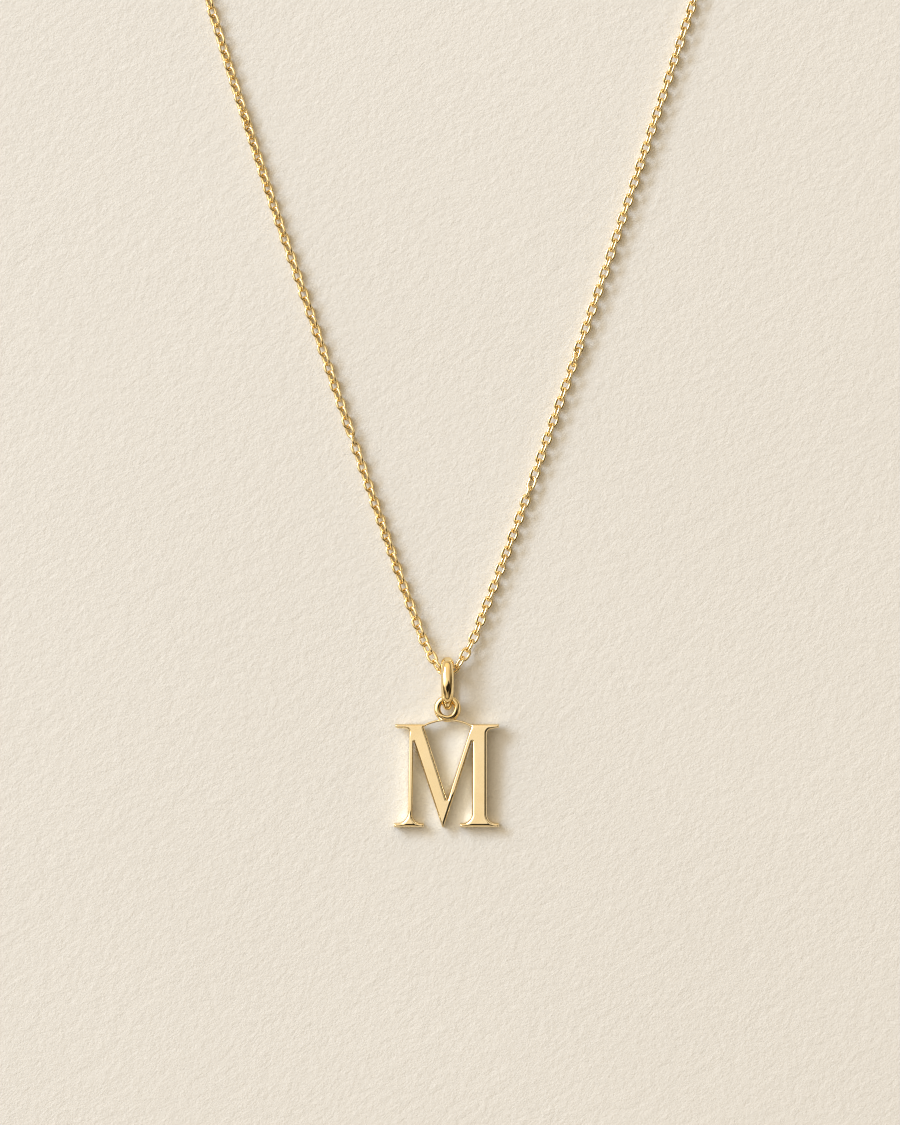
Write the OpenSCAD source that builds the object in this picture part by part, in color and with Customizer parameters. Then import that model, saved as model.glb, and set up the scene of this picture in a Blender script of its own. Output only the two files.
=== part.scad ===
// Letter pendant on a fine cable chain, laid out on a flat surface.
// +X to the right, +Y up the necklace, +Z away from the surface, which is z = 0.
// The origin is on the surface, under the middle of the necklace.

/* [Letter] */
// Height of the letter, from its base to its top
letter_h = 11.45; // [11:0.05:12]
// Thickness of the letter
letter_t = 1.25; // [1.15:0.05:1.3]
// Thickness of the flat serifs at the base, seen from the front
serif_h = 0.43; // [0.35:0.01:0.55]
// Lean of the letter, whose eye lies on the bail, in degrees
letter_tilt = 2.2; // [2.1:0.05:2.3]

/* [Eye] */
// Radius of the eye ring, to the middle of its wire
eye_r = 1.13; // [1.1:0.01:1.2]
// Diameter of the eye's wire
eye_wire = 0.74; // [0.6:0.02:0.76]
// Height of the eye's centre above the top of the letter
eye_rise = 1.72; // [1.68:0.01:1.8]
// Thickness of the arched bridge that carries the eye, seen from the front
bridge_h = 0.3; // [0.3:0.05:0.45]

/* [Bail] */
// Length of the bail, outside
bail_l = 5.9; // [5.8:0.1:6.6]
// Depth of the bail, outside, from the surface up
bail_d = 2.8; // [2.78:0.02:3]
// Width of the bail's band
bail_w = 1.4; // [1.2:0.1:1.5]
// Thickness of the bail's band
bail_t = 0.68; // [0.6:0.02:0.7]
// Width of the band at the bottom of the bail
bail_foot_w = 0.84; // [0.72:0.02:0.88]

/* [Chain] */
// Diameter of the chain over its links
chain_d = 1.08; // [0.9:0.02:1.1]
// Radius of the round arc at the back of the neck
loop_r = 46.5; // [44:0.5:50]

/* [Clasp] */
// Radius of the clasp's ring, to the middle of its tube
clasp_r = 2.4; // [2.2:0.1:2.6]
// Diameter of the clasp's tube
clasp_wire = 1.1; // [0.9:0.1:1.2]
// Radius of the small loop soldered to the clasp, to the middle of its wire
tab_r = 0.8; // [0.7:0.05:0.9]
// Diameter of the small loop's wire
tab_wire = 0.5; // [0.4:0.05:0.6]

/* [Hidden] */
$fn = 48;

gold = [0.86, 0.68, 0.36];
bright_gold = [0.95, 0.82, 0.52];

// Where the chain crosses the bail
cross = [-0.4, -88.4];
// Height of the middle of the loop's arc, and of the clasp
arc_y = 56.2;
clasp_y = arc_y + loop_r;

// The bail's two round ends, and the eye that lies in the lower one
bail_top_y = cross[1] + 0.23;
bail_low_y = bail_top_y - (bail_l - bail_d);
eye_y = bail_low_y - 0.08 - eye_r;
eye_x = cross[0];

// The letter: its own origin is at the middle of its base, on its back face
eye_up = letter_h + eye_rise;
letter_x = eye_x - 0.1;
letter_y = eye_y - eye_up * cos(letter_tilt) + letter_t / 2 * sin(letter_tilt);

// ---- chain ----

// Route of the chain from one side of the necklace to the other, by way of the bail: x, y, z.
// It lies on the surface and climbs through the bail.
z0 = chain_d / 2;
route = [
  [-26.85, -14.0, z0], [-24.40, -22.0, z0], [-21.85, -30.0, z0], [-19.25, -38.0, z0],
  [-16.50, -46.0, z0], [-13.80, -54.0, z0], [-11.10, -62.0, z0], [-8.35, -70.0, z0],
  [-5.60, -78.0, 0.55], [-4.15, -82.0, 0.64], [-3.00, -85.0, 0.86], [-1.90, -87.1, 1.22],
  [-1.20, -88.1, 1.35], [-0.40, -88.4, 1.38], [0.35, -88.1, 1.35],
  [1.15, -87.1, 1.22], [2.35, -85.0, 0.86], [3.55, -82.0, 0.64],
  [5.10, -78.0, 0.55], [8.05, -70.0, z0], [10.85, -62.0, z0], [13.65, -54.0, z0],
  [16.40, -46.0, z0], [19.05, -38.0, z0], [21.70, -30.0, z0], [24.30, -22.0, z0],
  [26.90, -14.0, z0]
];

// The arc's ends: where a strand becomes tangent to it, and where it meets the clasp
arc_start = -16;
left_end = 90 - asin((clasp_r + clasp_wire / 2 + 2 * tab_r + tab_wire / 2 + 0.05) / loop_r);
right_end = 90 - asin((clasp_r + clasp_wire / 2 + 0.1) / loop_r);
arc_n = 12;
function arc_pt(side, a) = [side * loop_r * cos(a), arc_y + loop_r * sin(a), z0];

whole = concat(
  [for (i = [0:arc_n]) arc_pt(-1, left_end + (arc_start - left_end) * i / arc_n)],
  route,
  [for (i = [0:arc_n]) arc_pt(1, arc_start + (right_end - arc_start) * i / arc_n)]
);

// A smooth curve through all the points, whose speed is even along it
function slope(p, i) =
  i == 0 ? (p[1] - p[0]) / norm(p[1] - p[0]) :
  i == len(p) - 1 ? (p[i] - p[i - 1]) / norm(p[i] - p[i - 1]) :
  let (a = norm(p[i] - p[i - 1]), b = norm(p[i + 1] - p[i]))
  ((p[i + 1] - p[i]) / b * a + (p[i] - p[i - 1]) / a * b) / (a + b);
function on_curve(p, i, t) =
  let (d = norm(p[i + 1] - p[i]), m0 = slope(p, i) * d, m1 = slope(p, i + 1) * d)
  (2 * t^3 - 3 * t^2 + 1) * p[i] + (t^3 - 2 * t^2 + t) * m0
  + (3 * t^2 - 2 * t^3) * p[i + 1] + (t^3 - t^2) * m1;

// One ring at each point of the arcs, two for each stretch of the route
function steps(i) = i < arc_n || i > arc_n + len(route) ? 1 : 2;
rings = concat(
  [for (i = [0:len(whole) - 2]) for (k = [0:steps(i) - 1]) on_curve(whole, i, k / steps(i))],
  [whole[len(whole) - 1]]
);

// A tube of 8 sides through the rings' middles, closed at both ends
sides = 8;
function dir(p, i) =
  let (d = p[min(i + 1, len(p) - 1)] - p[max(i - 1, 0)]) d / norm(d);
function ring(p, i, r) =
  let (t = dir(p, i), n = cross(t, [0, 0, 1]) / norm(cross(t, [0, 0, 1])), b = cross(n, t))
  [for (k = [0:sides - 1]) p[i] + r * (cos(360 * k / sides) * n + sin(360 * k / sides) * b)];

module tube(p, d) {
  pts = [for (i = [0:len(p) - 1]) each ring(p, i, d / 2)];
  n = len(p);
  skin = [for (i = [0:n - 2]) for (k = [0:sides - 1])
    let (a = i * sides + k, b = i * sides + (k + 1) % sides)
    each [[a, b + sides, b], [a, a + sides, b + sides]]];
  start = [[for (k = [0:sides - 1]) k]];
  stop = [[for (k = [0:sides - 1]) n * sides - 1 - k]];
  polyhedron(points = pts, faces = concat(skin, start, stop), convexity = 10);
}

module chain() {
  color(gold) tube(rings, chain_d);
}

// ---- bail ----

// The band's section: half round outside, slightly domed inside. Its outer side is towards +x
module band_section() {
  outer_r = bail_w / 2 + 0.06;
  inner_r = 1.2;
  intersection() {
    translate([bail_t / 2 - outer_r, 0]) circle(outer_r, $fn = 96);
    translate([inner_r - bail_t / 2, 0]) circle(inner_r, $fn = 96);
  }
}

// The oval ring, lying in the plane that is upright on the surface
module bail_ring() {
  straight = bail_l - bail_d;
  mid = bail_d / 2 - bail_t / 2;
  rotate([90, 0, 90]) {
    translate([straight, 0, 0])
      rotate([0, 0, -90]) rotate_extrude(angle = 180, $fn = 96)
        translate([mid, 0]) band_section();
    rotate([0, 0, 90]) rotate_extrude(angle = 180, $fn = 96)
      translate([mid, 0]) band_section();
    for (side = [0, 1])
      mirror([0, side, 0]) translate([0, mid, 0])
        rotate([0, 90, 0]) rotate([0, 0, 90])
          linear_extrude(height = straight) band_section();
  }
}

// Front outline of the bail, narrow at its foot: rows of half width and height from the low end's middle
bail_taper = [[0.5, 4.6], [0.62, 4.45], [0.70, 4.1], [0.70, 1.4], [0.60, -0.3], [0.42, -1.2], [0.36, -1.5]];

module bail() {
  k = bail_w / 1.4;
  foot = bail_foot_w / 0.84;
  rows = [for (r = bail_taper) [r[0] * (r[1] < -1 ? foot : k), r[1] > 3 ? r[1] + bail_l - 5.9 : r[1]]];
  n = len(rows);
  color(bright_gold) translate([eye_x, bail_low_y, bail_d / 2])
    intersection() {
      bail_ring();
      linear_extrude(height = 2 * bail_d, center = true)
        polygon(concat(rows, [for (i = [n - 1:-1:0]) [-rows[i][0], rows[i][1]]]));
    }
}

// ---- letter ----

// Strokes of the letter, with x measured from its middle.
// Thin stem: left and right edge at its base, then right and left edge at its top
stem_thin = [-4.31, -3.78, -3.63, -4.14];
// Thick stem: left and right edge
stem_thick = [2.83, 4.51];
// Slanted strokes, at the top: outside and inside of the thick one, inside and outside of the thin one
slants = [-4.32, -2.58, 2.78, 3.50];
// Blunt point at their foot, left and right
point = [-0.49, -0.30];
// Notch between them
notch = [0.09, 3.04];
// Serifs at the base: left and right end
foot_left = [-5.84, -2.51];
foot_right = [1.49, 5.84];

// A concave corner blend at [x, y], opening to the side sx and up (1) or down (-1)
module bracket(x, y, r, sx, sy) {
  lap = 0.06;
  translate([x, y]) mirror([sx < 0 ? 1 : 0, 0]) mirror([0, sy < 0 ? 1 : 0])
    difference() {
      translate([-lap, -lap]) square(r + lap);
      translate([r, r]) circle(r, $fn = 64);
    }
}

module letter_face() {
  h = letter_h;
  polygon([[stem_thin[0], 0], [stem_thin[1], 0], [stem_thin[2], h], [stem_thin[3], h]]);
  polygon([[slants[0], h], [point[0], 0], [point[1], 0], [slants[3], h], [slants[2], h], notch, [slants[1], h]]);
  translate([stem_thick[0], 0]) square([stem_thick[1] - stem_thick[0], h]);
  translate([foot_left[0], 0]) square([foot_left[1] - foot_left[0], serif_h]);
  translate([foot_right[0], 0]) square([foot_right[1] - foot_right[0], serif_h]);
  bracket(-4.30, serif_h, 1.2, -1, 1);
  bracket(-3.79, serif_h, 1.0, 1, 1);
  bracket(stem_thick[0], serif_h, 1.1, -1, 1);
  bracket(stem_thick[1], serif_h, 1.0, 1, 1);
  // the two half serifs at the top
  polygon([[-4.1, h], [-5.70, h], [-5.70, h - 0.28], [-5.44, h - 0.47], [-4.1, h - 0.47]]);
  bracket(-4.14, h - 0.47, 0.48, -1, -1);
  polygon([[4.4, h], [5.85, h], [5.85, h - 0.38], [4.95, h - 0.57], [4.4, h - 0.6]]);
  bracket(stem_thick[1], h - 0.58, 0.42, 1, -1);
}

// Thin arch from one inner top corner of the letter to the other, by way of the eye's foot
module bridge() {
  half = 2.74;
  rise = eye_rise - eye_r + 0.1;
  r = (half * half + rise * rise) / (2 * rise);
  a = asin(half / r);
  translate([0.1, letter_h - 0.1 + rise - r, letter_t / 2])
    rotate([0, 0, 90 - a]) rotate_extrude(angle = 2 * a, $fn = 180)
      translate([r - bridge_h / 2, -0.35]) square([bridge_h, 0.7]);
}

module letter() {
  color(bright_gold) translate([letter_x, letter_y, 0])
    rotate([letter_tilt, 0, 0]) {
      linear_extrude(height = letter_t) letter_face();
      translate([0.1, eye_up, letter_t / 2])
        rotate_extrude($fn = 96) translate([eye_r, 0]) circle(d = eye_wire);
      bridge();
    }
}

// ---- clasp ----

module clasp() {
  color(gold) translate([0, clasp_y, clasp_wire / 2]) {
    rotate_extrude($fn = 96) translate([clasp_r, 0]) circle(d = clasp_wire);
    translate([-clasp_r - clasp_wire / 2 - tab_r, 0, 0])
      rotate_extrude($fn = 96) translate([tab_r, 0]) circle(d = tab_wire);
  }
}

chain();
bail();
letter();
clasp();
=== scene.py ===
import math

import bpy
import numpy as np
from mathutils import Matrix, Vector
from mathutils.geometry import delaunay_2d_cdt


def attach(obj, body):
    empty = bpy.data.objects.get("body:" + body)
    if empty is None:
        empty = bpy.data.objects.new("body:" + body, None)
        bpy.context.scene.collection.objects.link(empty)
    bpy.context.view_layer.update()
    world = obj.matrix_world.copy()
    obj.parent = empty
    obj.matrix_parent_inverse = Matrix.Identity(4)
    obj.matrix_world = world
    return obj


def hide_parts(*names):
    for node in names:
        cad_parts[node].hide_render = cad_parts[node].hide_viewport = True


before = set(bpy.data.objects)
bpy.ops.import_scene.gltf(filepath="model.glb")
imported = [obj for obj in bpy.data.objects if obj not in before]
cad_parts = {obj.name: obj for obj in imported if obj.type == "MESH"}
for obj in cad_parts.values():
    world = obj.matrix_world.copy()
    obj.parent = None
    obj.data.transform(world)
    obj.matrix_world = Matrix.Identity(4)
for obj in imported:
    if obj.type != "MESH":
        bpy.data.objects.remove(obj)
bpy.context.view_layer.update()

MM = 0.001
rng = np.random.default_rng(23)


# ---------------------------------------------------------------- helpers

def add_mesh(name, verts_mm, faces, material, smooth=True):
    """A mesh object from vertices in millimetres, in the row frame."""
    me = bpy.data.meshes.new(name)
    me.from_pydata([tuple(v) for v in (np.asarray(verts_mm, float) * MM).tolist()], [], faces)
    me.polygons.foreach_set("use_smooth", [smooth] * len(me.polygons))
    me.validate()
    me.update()
    ob = bpy.data.objects.new(name, me)
    bpy.context.scene.collection.objects.link(ob)
    me.materials.append(material)
    return ob


def grid_faces(rows, cols, close_rows, close_cols, base=0, flip=False):
    out = []
    for i in range(rows if close_rows else rows - 1):
        for j in range(cols if close_cols else cols - 1):
            a = base + i * cols + j
            b = base + i * cols + (j + 1) % cols
            c = base + ((i + 1) % rows) * cols + (j + 1) % cols
            d = base + ((i + 1) % rows) * cols + j
            out.append((a, d, c, b) if flip else (a, b, c, d))
    return out


def tube_along(points, radii, n_ring=20, ratio=1.0, up=(0, 0, 1)):
    """A closed tube with rounded ends along a list of points; radii may vary. ratio flattens it along up."""
    p = np.asarray(points, float)
    r = np.broadcast_to(np.asarray(radii, float), (len(p),)).copy()
    t = np.gradient(p, axis=0)
    t /= np.linalg.norm(t, axis=1)[:, None]
    upv = np.asarray(up, float)
    n = np.cross(t, upv)
    n /= np.linalg.norm(n, axis=1)[:, None]
    b = np.cross(n, t)
    cap = [(0.0, 1.0), (0.35, 0.93), (0.7, 0.71), (0.93, 0.38), (0.995, 0.1)]
    rows = []
    for k in range(len(cap) - 1, 0, -1):
        rows.append((p[0] - t[0] * r[0] * cap[k][0], n[0], b[0], r[0] * cap[k][1]))
    for i in range(len(p)):
        rows.append((p[i], n[i], b[i], r[i]))
    for k in range(1, len(cap)):
        rows.append((p[-1] + t[-1] * r[-1] * cap[k][0], n[-1], b[-1], r[-1] * cap[k][1]))
    a = np.arange(n_ring) * 2 * math.pi / n_ring
    verts = []
    for c, nn, bb, rr in rows:
        verts += list(c + rr * (np.cos(a)[:, None] * nn + ratio * np.sin(a)[:, None] * bb))
    faces = grid_faces(len(rows), n_ring, False, True)
    faces.append(tuple(range(n_ring - 1, -1, -1)))
    faces.append(tuple((len(rows) - 1) * n_ring + k for k in range(n_ring)))
    return np.array(verts), faces


def torus(centre, major, minor, n_major=112, n_minor=36):
    a = np.arange(n_major) * 2 * math.pi / n_major
    b = np.arange(n_minor) * 2 * math.pi / n_minor
    rr = major + minor * np.cos(b)
    v = np.stack([np.outer(np.cos(a), rr), np.outer(np.sin(a), rr), np.tile(minor * np.sin(b), (n_major, 1))], -1)
    return v.reshape(-1, 3) + np.asarray(centre, float), grid_faces(n_major, n_minor, True, True)


class Nodes:
    """Short calls for building node trees."""

    def __init__(self, tree):
        self.t = tree

    def new(self, kind, inputs=(), **props):
        n = self.t.nodes.new(kind)
        for k, v in props.items():
            setattr(n, k, v)
        for k, v in dict(inputs).items():
            if hasattr(v, "node"):
                self.t.links.new(v, n.inputs[k])
            else:
                n.inputs[k].default_value = v
        return n

    def math(self, op, a, b=0.0, clamp=False):
        return self.new("ShaderNodeMath", {0: a, 1: b}, operation=op, use_clamp=clamp).outputs[0]

    def step(self, x, lo, hi, a=0.0, b=1.0):
        return self.new("ShaderNodeMapRange", {0: x, 1: lo, 2: hi, 3: a, 4: b}, interpolation_type="SMOOTHSTEP").outputs[0]

    def ramp(self, x, lo, hi, a=0.0, b=1.0):
        return self.new("ShaderNodeMapRange", {0: x, 1: lo, 2: hi, 3: a, 4: b}).outputs[0]

    def blend(self, f, a, b):
        n = self.new("ShaderNodeMix", {0: f}, data_type="RGBA")
        for sock, v in ((n.inputs[6], a), (n.inputs[7], b)):
            if hasattr(v, "node"):
                self.t.links.new(v, sock)
            else:
                sock.default_value = v
        return n.outputs[2]

    def noise(self, vector, scale, detail=2.0, rough=0.5, distort=0.0):
        return self.new("ShaderNodeTexNoise", {"Vector": vector, "Scale": scale, "Detail": detail, "Roughness": rough, "Distortion": distort}).outputs["Fac"]


def new_material(name):
    m = bpy.data.materials.new(name)
    m.use_nodes = True
    m.node_tree.nodes.clear()
    n = Nodes(m.node_tree)
    out = n.new("ShaderNodeOutputMaterial")
    bsdf = n.new("ShaderNodeBsdfPrincipled")
    m.node_tree.links.new(bsdf.outputs[0], out.inputs["Surface"])
    return m, n, bsdf


def gold(name, light, deep, rough, wave, brush=0.6, lean=None, edge=(1.0, 1.0, 1.0)):
    """Polished yellow gold: a slow change of tone, uneven gloss, hairline polishing marks and a slightly wavy surface."""
    m, n, bsdf = new_material(name)
    pos = n.new("ShaderNodeTexCoord").outputs["Object"]
    tone = n.noise(pos, 420.0, 3.0, 0.55)
    fine = n.noise(pos, 5200.0, 3.0, 0.6)
    m.node_tree.links.new(n.blend(n.ramp(tone, 0.32, 0.68), (*deep, 1), (*light, 1)), bsdf.inputs["Base Color"])
    bsdf.inputs["Metallic"].default_value = 1.0
    bsdf.inputs["Specular Tint"].default_value = (*edge, 1.0)
    m.node_tree.links.new(n.ramp(fine, 0.3, 0.7, rough[0], rough[1]), bsdf.inputs["Roughness"])
    turned = n.new("ShaderNodeMapping", {"Vector": pos, "Rotation": (0.0, 0.0, 1.1), "Scale": (900.0, 26000.0, 900.0)}).outputs[0]
    marks = n.noise(turned, 1.0, 2.0, 0.5)
    hair = n.new("ShaderNodeBump", {"Strength": brush, "Distance": 1.6e-7, "Height": marks}).outputs[0]
    if lean:
        hair.node.id_data.links.new(lean(n, pos), hair.node.inputs["Normal"])
    swell = n.noise(pos, 360.0, 1.0, 0.4)
    soft = n.new("ShaderNodeBump", {"Strength": 1.0, "Distance": wave, "Height": swell, "Normal": hair}).outputs[0]
    m.node_tree.links.new(soft, bsdf.inputs["Normal"])
    return m


# The bail's front is polished to a long dome: how far its surface leans up or down the necklace, by height in mm
BAIL_LEAN = [(-92.9, 0.0), (-92.4, -0.26), (-92.0, -0.49), (-91.75, -0.54), (-91.52, -0.51), (-91.27, -0.51), (-90.66, -0.33), (-90.1, -0.19),
             (-89.44, 0.0), (-88.77, 0.20), (-88.2, 0.37), (-87.8, 0.27), (-87.45, 0.08), (-87.25, 0.0), (-86.7, 0.0)]


def bail_dome(n, pos):
    x, y, z = n.new("ShaderNodeSeparateXYZ", {0: pos}).outputs
    lo, hi = BAIL_LEAN[0][0], BAIL_LEAN[-1][0]
    node = n.new("ShaderNodeFloatCurve", {"Value": n.ramp(y, lo * MM, hi * MM)})
    curve = node.mapping.curves[0]
    for i, (h, v) in enumerate(BAIL_LEAN):
        at_ = ((h - lo) / (hi - lo), 0.5 + v / 2)
        if i == 0:
            curve.points[0].location = at_
        elif i == len(BAIL_LEAN) - 1:
            curve.points[1].location = at_
        else:
            curve.points.new(*at_)
    node.mapping.update()
    lean = n.math("MULTIPLY", n.math("SUBTRACT", node.outputs[0], 0.5), 2.0)
    normal = n.new("ShaderNodeNewGeometry").outputs["Normal"]
    up = n.new("ShaderNodeSeparateXYZ", {0: normal}).outputs[2]
    lean = n.math("MULTIPLY", lean, n.step(up, 0.0, 0.5))
    add = n.new("ShaderNodeCombineXYZ", {1: lean}).outputs[0]
    total = n.new("ShaderNodeVectorMath", {0: normal, 1: add}, operation="ADD").outputs[0]
    return n.new("ShaderNodeVectorMath", {0: total}, operation="NORMALIZE").outputs[0]


# The eye ring is rubbed flatter along its lower side: its centre, and the side that leans outwards
EYE_AT, EYE_SIDE, EYE_OUT = (-0.4, -92.48), (0.45, -0.89), 0.60


def eye_round(n, pos):
    x, y, z = n.new("ShaderNodeSeparateXYZ", {0: pos}).outputs
    u = n.math("DIVIDE", n.math("SUBTRACT", x, EYE_AT[0] * MM), 1.13 * MM)
    v = n.math("DIVIDE", n.math("SUBTRACT", y, EYE_AT[1] * MM), 1.13 * MM)
    side = n.math("ADD", n.math("MULTIPLY", u, EYE_SIDE[0]), n.math("MULTIPLY", v, EYE_SIDE[1]))
    normal = n.new("ShaderNodeNewGeometry").outputs["Normal"]
    up = n.new("ShaderNodeSeparateXYZ", {0: normal}).outputs[2]
    lean = n.math("MULTIPLY", n.math("MULTIPLY", n.step(side, 0.0, 0.6), EYE_OUT), n.step(up, 0.1, 0.6))
    add = n.new("ShaderNodeCombineXYZ", {0: n.math("MULTIPLY", u, lean), 1: n.math("MULTIPLY", v, lean), 2: n.math("MULTIPLY", lean, 0.35)}).outputs[0]
    both = n.new("ShaderNodeVectorMath", {0: normal, 1: add}, operation="ADD").outputs[0]
    return n.new("ShaderNodeVectorMath", {0: both}, operation="NORMALIZE").outputs[0]


# The letter's face is polished slightly hollow here and there: centre, half size and how far it leans towards the left
FACE_LEAN = [((2.50, -99.0), (0.42, 2.4), 0.075), ((-3.3, -96.9), (0.9, 1.5), 0.04), ((-0.7, -101.8), (0.7, 2.0), -0.02)]


def letter_dome(n, pos):
    x, y, z = n.new("ShaderNodeSeparateXYZ", {0: pos}).outputs
    normal = n.new("ShaderNodeNewGeometry").outputs["Normal"]
    up = n.new("ShaderNodeSeparateXYZ", {0: normal}).outputs[2]
    total = None
    for (cx, cy), (wx, wy), amount in FACE_LEAN:
        u = n.math("DIVIDE", n.math("SUBTRACT", x, cx * MM), wx * MM)
        v = n.math("DIVIDE", n.math("SUBTRACT", y, cy * MM), wy * MM)
        far = n.math("ADD", n.math("MULTIPLY", u, u), n.math("MULTIPLY", v, v))
        part = n.math("MULTIPLY", n.step(far, 0.0, 1.6, 1.0, 0.0), -amount)
        total = part if total is None else n.math("ADD", total, part)
    total = n.math("MULTIPLY", total, n.step(up, 0.8, 0.99))
    add = n.new("ShaderNodeCombineXYZ", {0: total}).outputs[0]
    both = n.new("ShaderNodeVectorMath", {0: normal, 1: add}, operation="ADD").outputs[0]
    return n.new("ShaderNodeVectorMath", {0: both}, operation="NORMALIZE").outputs[0]


chain_gold = gold("chain_gold", (0.965, 0.81, 0.49), (0.905, 0.72, 0.385), (0.11, 0.17), 3.0e-6, 0.3, edge=(0.88, 0.73, 0.50))
bail_gold = gold("bail_gold", (0.95, 0.79, 0.48), (0.91, 0.73, 0.40), (0.06, 0.10), 5.0e-7, 0.3, bail_dome, (0.90, 0.78, 0.58))
letter_gold = gold("letter_gold", (0.955, 0.845, 0.61), (0.92, 0.785, 0.52), (0.09, 0.13), 1.0e-5, 0.2, letter_dome, (0.86, 0.72, 0.50))
eye_gold = gold("eye_gold", (0.95, 0.79, 0.48), (0.92, 0.74, 0.40), (0.04, 0.07), 3.0e-6, 0.3, eye_round, (0.84, 0.68, 0.45))
clasp_gold = gold("clasp_gold", (0.955, 0.795, 0.48), (0.88, 0.69, 0.36), (0.10, 0.17), 4.0e-6, edge=(0.88, 0.73, 0.50))


def face_outwards(me):
    """Turn a closed mesh whose faces look inwards the right way out."""
    me.calc_loop_triangles()
    co = np.empty(len(me.vertices) * 3)
    me.vertices.foreach_get("co", co)
    tri = np.empty(len(me.loop_triangles) * 3, dtype=np.int32)
    me.loop_triangles.foreach_get("vertices", tri)
    a_, b_, c_ = (co.reshape(-1, 3)[tri.reshape(-1, 3)[:, k]] for k in range(3))
    if np.einsum("ij,ij->", a_, np.cross(b_, c_)) < 0:
        me.flip_normals()
        me.update()


def keep(piece, node):
    face_outwards(piece.data)
    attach(piece, "root")
    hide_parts(node)


# ---------------------------------------------------------------- the chain's route, in millimetres

Z0 = 0.54
ROUTE = [
    [-26.85, -14.0, Z0], [-24.40, -22.0, Z0], [-21.85, -30.0, Z0], [-19.25, -38.0, Z0],
    [-16.50, -46.0, Z0], [-13.80, -54.0, Z0], [-11.10, -62.0, Z0], [-8.35, -70.0, Z0],
    [-5.60, -78.0, 0.55], [-4.15, -82.0, 0.64], [-3.00, -85.0, 0.86], [-1.90, -87.1, 1.22],
    [-1.20, -88.1, 1.35], [-0.40, -88.4, 1.38], [0.35, -88.1, 1.35],
    [1.15, -87.1, 1.22], [2.35, -85.0, 0.86], [3.55, -82.0, 0.64],
    [5.10, -78.0, 0.55], [8.05, -70.0, Z0], [10.85, -62.0, Z0], [13.65, -54.0, Z0],
    [16.40, -46.0, Z0], [19.05, -38.0, Z0], [21.70, -30.0, Z0], [24.30, -22.0, Z0],
    [26.90, -14.0, Z0],
]
ARC_Y, LOOP_R, ARC_N, ARC_START = 56.2, 46.5, 12, -16.0
LEFT_END = 90 - math.degrees(math.asin(4.85 / LOOP_R))
RIGHT_END = 90 - math.degrees(math.asin(3.05 / LOOP_R))


def arc_pt(side, a):
    a = math.radians(a)
    return [side * LOOP_R * math.cos(a), ARC_Y + LOOP_R * math.sin(a), Z0]


WHOLE = np.array(
    [arc_pt(-1, LEFT_END + (ARC_START - LEFT_END) * i / ARC_N) for i in range(ARC_N + 1)]
    + ROUTE
    + [arc_pt(1, ARC_START + (RIGHT_END - ARC_START) * i / ARC_N) for i in range(ARC_N + 1)]
)


def slope(p, i):
    if i == 0:
        d = p[1] - p[0]
        return d / np.linalg.norm(d)
    if i == len(p) - 1:
        d = p[i] - p[i - 1]
        return d / np.linalg.norm(d)
    a, b = np.linalg.norm(p[i] - p[i - 1]), np.linalg.norm(p[i + 1] - p[i])
    return ((p[i + 1] - p[i]) / b * a + (p[i] - p[i - 1]) / a * b) / (a + b)


def on_curve(p, i, t):
    d = np.linalg.norm(p[i + 1] - p[i])
    m0, m1 = slope(p, i) * d, slope(p, i + 1) * d
    return (2 * t**3 - 3 * t**2 + 1) * p[i] + (t**3 - 2 * t**2 + t) * m0 + (3 * t**2 - 2 * t**3) * p[i + 1] + (t**3 - t**2) * m1


CURVE = np.array([on_curve(WHOLE, i, k / 48) for i in range(len(WHOLE) - 1) for k in range(48)] + [WHOLE[-1]])
CURVE_S = np.r_[0, np.cumsum(np.linalg.norm(np.diff(CURVE, axis=0), axis=1))]
TOTAL = CURVE_S[-1]
LOW = int(np.argmin(CURVE[:, 1]))


def at(s):
    """Point and unit direction of the route at a length s from its left end; it runs on straight past its ends."""
    q = np.array([np.interp(s, CURVE_S, CURVE[:, k]) for k in range(3)])
    lo, hi = max(s - 0.25, 0.0), min(s + 0.25, TOTAL)
    if hi - lo < 0.3:
        lo, hi = (0.0, 0.5) if s < 1 else (TOTAL - 0.5, TOTAL)
    a = np.array([np.interp(lo, CURVE_S, CURVE[:, k]) for k in range(3)])
    b = np.array([np.interp(hi, CURVE_S, CURVE[:, k]) for k in range(3)])
    t = (b - a) / np.linalg.norm(b - a)
    if s < 0:
        q = CURVE[0] + t * s
    elif s > TOTAL:
        q = CURVE[-1] + t * (s - TOTAL)
    return q, t


def s_at_y(y, side):
    """Length along the route where the left (-1) or right (1) strand passes height y."""
    if side < 0:
        sel = slice(int(np.argmax(CURVE[:, 1] < 35)), LOW + 1)
        return float(np.interp(-y, -CURVE[sel, 1], CURVE_S[sel]))
    end = LOW + int(np.argmax(CURVE[LOW:, 1] > 35))
    sel = slice(LOW, end)
    return float(np.interp(y, CURVE[sel, 1], CURVE_S[sel]))


# ---------------------------------------------------------------- the chain's links

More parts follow.
